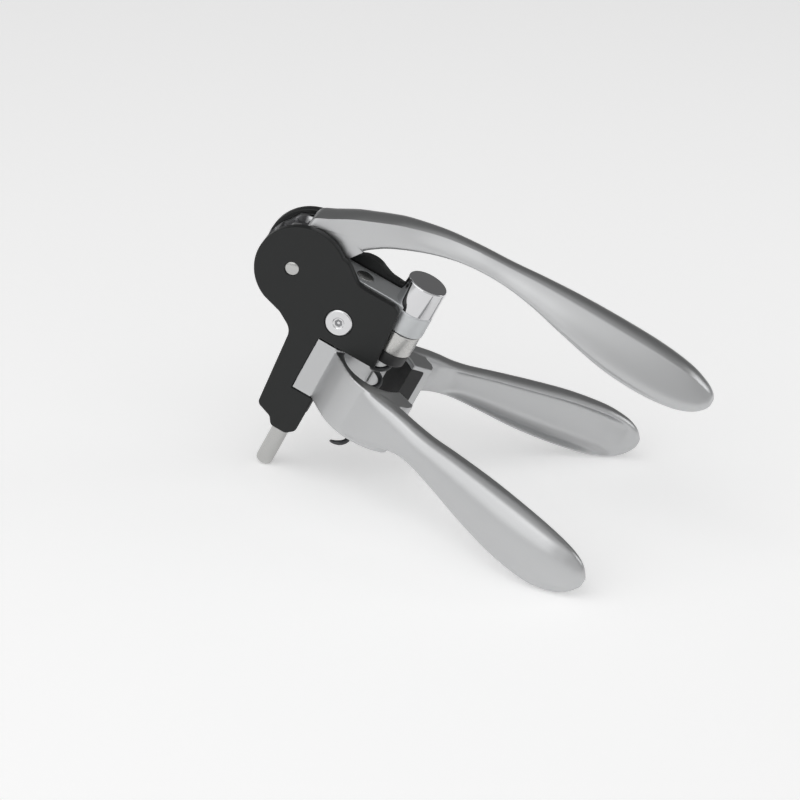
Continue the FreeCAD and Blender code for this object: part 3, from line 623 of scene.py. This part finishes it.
GRIP = [
    # u, w, z of the middle, half thickness, half height, fullness, dish
    (29.0, 10.9, 56.0, 3.0, 11.6, 9.0, 0.0),
    (36.0, 10.3, 56.7, 4.1, 11.2, 6.0, 0.0),
    (42.0, 9.6, 57.7, 5.0, 10.6, 4.4, 0.0),
    (48.0, 8.9, 59.0, 5.4, 9.7, 3.5, 0.0),
    (53.5, 8.3, 60.2, 5.6, 8.5, 2.9, 0.0),
    (60.0, 7.3, 60.8, 5.9, 7.6, 2.6, 0.35),
    (68.0, 6.6, 60.9, 6.2, 7.8, 2.5, 0.9),
    (80.0, 5.8, 60.8, 6.8, 9.3, 2.5, 1.15),
    (98.0, 4.9, 60.3, 7.6, 11.5, 2.5, 1.25),
    (116.0, 4.2, 60.1, 7.8, 12.8, 2.4, 1.25),
    (132.0, 2.6, 60.2, 7.1, 12.6, 2.4, 1.1),
    (141.0, 0.8, 60.7, 5.9, 11.1, 2.3, 0.7),
    (146.5, -0.6, 61.2, 4.6, 9.0, 2.2, 0.2),
    (150.2, -1.5, 61.7, 3.2, 6.2, 2.1, 0.0),
    (152.9, -2.1, 62.1, 1.2, 2.4, 2.0, 0.0),
]


def grip_section(t, h, full, dish, count=56):
    """Closed section: (outwards, up) points, dished on the inner side with a raised rim."""
    pts = []
    for k in range(count):
        a = turn_angle(k, count)
        c, s = math.cos(a), math.sin(a)
        w = t * math.copysign(abs(c) ** (2 / full), c)
        z = h * math.copysign(abs(s) ** (2 / full), s)
        if dish > 0 and c < 0:
            rim = 0.86 * h
            inside = max(0.0, 1.0 - (abs(z) / rim) ** 5)
            w += dish * inside * 0.95 * t
        pts.append((w, z))
    return pts


def add_grip(bm, sign):
    rows = spline(GRIP, 8)
    rings = []
    for i, (u, w, z, t, h, full, dish) in enumerate(rows):
        a = rows[max(i - 1, 0)]
        b = rows[min(i + 1, len(rows) - 1)]
        du, dw = b[0] - a[0], b[1] - a[1]
        size = math.hypot(du, dw)
        out = (-dw / size, du / size)
        ring = []
        for pw, pz in grip_section(t, h, full, dish):
            ring.append(grip_point(u + out[0] * pw, w + out[1] * pw, z + pz, sign))
        rings.append(ring)
    add_rings(bm, rings)


def add_collar(bm, sign):
    """Half collar, from behind the web round to its free edge."""
    under, over = 43.95, 67.95
    steps = 80
    rings = []
    for k in range(steps + 1):
        deg = WEB_EDGE + (FREE_EDGE - WEB_EDGE) * k / steps
        a = math.radians(deg)
        # the wall's outer corner is rounded off towards the free edge
        near_end = max(0.0, 1.0 - (deg - FREE_EDGE) / 14.0)
        reach = wall_reach(deg) - 2.6 * near_end ** 2
        corners = ((BOTTLE_R, under), (reach, under), (reach, over), (BOTTLE_R, over))
        rings.append([(RING_C[0] + radius * math.cos(a),
                       sign * (RING_C[1] + radius * math.sin(a)), z) for radius, z in corners])
    add_rings(bm, rings)


def handle_piece(side, sign):
    """Grip, collar, knuckles and the flat web over them, still as separate solids."""
    bm = bmesh.new()
    add_grip(bm, sign)
    add_collar(bm, sign)
    spans = ((44.0, 49.8), (62.8, 69.2)) if sign < 0 else ((50.3, 62.3),)
    bore, outside = 5.2, 6.25
    for low, high in spans:
        wall = [(bore, low), (outside, low), (outside, high), (bore, high)]
        lathe(bm, wall, (0.0, 0.0), steps=72)
    web = [(-3.75, 5.8), (8.0, 5.8), (8.0, 9.0), (4.6, 11.2), (-3.75, 11.2)]
    add_rings(bm, [[(x, sign * y, z) for x, y in web] for z in (44.1, 69.1)])
    return mesh_piece(side + "_handle_cast", bm, side + "_grip", "satin_alloy",
                      (side + "_handle",), sharp_deg=40.0)


def melt(obj, voxel, rounds):
    """Runs the solids of one casting together and eases their joins."""
    remesh = obj.modifiers.new("cast", "REMESH")
    remesh.mode = "VOXEL"
    remesh.voxel_size = voxel * MM
    remesh.use_smooth_shade = True
    ease = obj.modifiers.new("ease", "SMOOTH")
    ease.factor = 0.5
    ease.iterations = rounds


def web_face(side, sign):
    """Flat milled face of the web, with crisp edges."""
    low, high = sorted((sign * 8.0, sign * 11.42))
    outline = [(-3.88, 43.95), (4.55, 43.95), (4.55, 69.25), (-3.88, 69.25)]
    plate_curve(side + "_web_face", [outline], "XZ", low, high, 0.12,
                side + "_grip", "satin_alloy")


for side_name, side_sign in SIDES:
    cast = handle_piece(side_name, side_sign)
    melt(cast, 0.4, 4)
    web_face(side_name, side_sign)


def insert_piece(side, sign):
    """Soft block inside the collar's free end, with rounded rims."""
    middle_r, middle_z = 17.45, 56.0
    sweep, steps = 46.0, 40
    section = grip_section(3.05, 10.0, 14.0, 0.0, 64)
    rings = []
    for k in range(steps + 1):
        a = math.radians(FREE_EDGE - 0.6 + sweep * k / steps)
        rings.append([(RING_C[0] + (middle_r + pw) * math.cos(a),
                       sign * (RING_C[1] + (middle_r + pw) * math.sin(a)),
                       middle_z + pz) for pw, pz in section])
    bm = bmesh.new()
    add_rings(bm, rings)
    mesh_piece(side + "_insert_pad", bm, side + "_grip", "grip_rubber", (side + "_insert",),
               sharp_deg=50.0)


for side_name, side_sign in SIDES:
    insert_piece(side_name, side_sign)

# --------------------------------------------------- floor, light and camera
floor_mesh = bpy.data.meshes.new("floor")
floor_bm = bmesh.new()
for x, y in ((-4, -4), (4, -4), (4, 6), (-4, 6)):
    floor_bm.verts.new((x, y, 0.0))
floor_bm.faces.new(floor_bm.verts)
floor_bm.to_mesh(floor_mesh)
floor_bm.free()
floor = add_object("floor", floor_mesh)
floor_mat, _, floor_bsdf = new_material("pale floor")
floor_bsdf.inputs["Base Color"].default_value = (0.93, 0.93, 0.93, 1.0)
floor_bsdf.inputs["Roughness"].default_value = 0.85
floor_bsdf.inputs["Specular IOR Level"].default_value = 0.2
floor_bsdf.inputs["Emission Color"].default_value = (1.0, 1.0, 1.0, 1.0)
floor_bsdf.inputs["Emission Strength"].default_value = 0.30
floor_mesh.materials.append(floor_mat)

world = bpy.data.worlds.new("soft room")
bpy.context.scene.world = world
world.use_nodes = True


def world_by_direction(tree):
    """Bright in front, at the sides and below, and dark above and behind the object."""
    background = tree.nodes["Background"]
    background.inputs["Strength"].default_value = 1.0
    coords = tree.nodes.new("ShaderNodeTexCoord")
    dot = tree.nodes.new("ShaderNodeVectorMath")
    dot.operation = "DOT_PRODUCT"
    dot.inputs[1].default_value = (0.0, 0.80, 0.60)
    ramp = tree.nodes.new("ShaderNodeMapRange")
    ramp.interpolation_type = "SMOOTHSTEP"
    ramp.inputs["From Min"].default_value = -0.10
    ramp.inputs["From Max"].default_value = 0.75
    ramp.inputs["To Min"].default_value = 0.62
    ramp.inputs["To Max"].default_value = 0.15
    tree.links.new(coords.outputs["Generated"], dot.inputs[0])
    tree.links.new(dot.outputs["Value"], ramp.inputs["Value"])
    tree.links.new(ramp.outputs["Result"], background.inputs["Color"])


world_by_direction(world.node_tree)


def area_light(name, place, aim, size, power):
    """Square light at a place in metres, turned towards aim."""
    data = bpy.data.lights.new(name, "AREA")
    data.shape = "RECTANGLE"
    data.size = size
    data.size_y = size
    data.energy = power
    obj = add_object(name, data)
    obj.location = place
    obj.rotation_euler = (Vector(aim) - Vector(place)).to_track_quat("-Z", "Y").to_euler()


area_light("key", (-0.45, -0.75, 0.75), (0.0, 0.0, 0.04), 1.4, 4.0)
area_light("top", (0.1, -0.1, 1.1), (0.0, 0.0, 0.05), 1.6, 3.0)
area_light("rim", (0.8, 0.4, 0.45), (0.0, 0.0, 0.06), 0.4, 0.8)

# the camera looks at AIM from DISTANCE millimetres away, both in the tool's frame
AIM = Vector((38.33, 0.0, 67.08))
BACK = Vector((-0.00587516, -0.89054159, 0.4548639))
RIGHT = Vector((0.86761324, 0.22162881, 0.44511564))
DISTANCE = 1412.9
camera_data = bpy.data.cameras.new("camera")
camera_data.sensor_width = 36.0
camera_data.lens = 152.6
camera_data.shift_x = -0.0139
camera_data.shift_y = -0.0211
camera_data.clip_start = 0.01
camera = add_object("camera", camera_data)
back = (TURN @ BACK).normalized()
right = (TURN @ RIGHT).normalized()
above = back.cross(right).normalized()
pose = Matrix((right, above, back)).transposed().to_4x4()
pose.translation = to_row(AIM + BACK * DISTANCE)
camera.matrix_world = pose
bpy.context.scene.camera = camera
bpy.context.scene.view_settings.view_transform = "Standard"
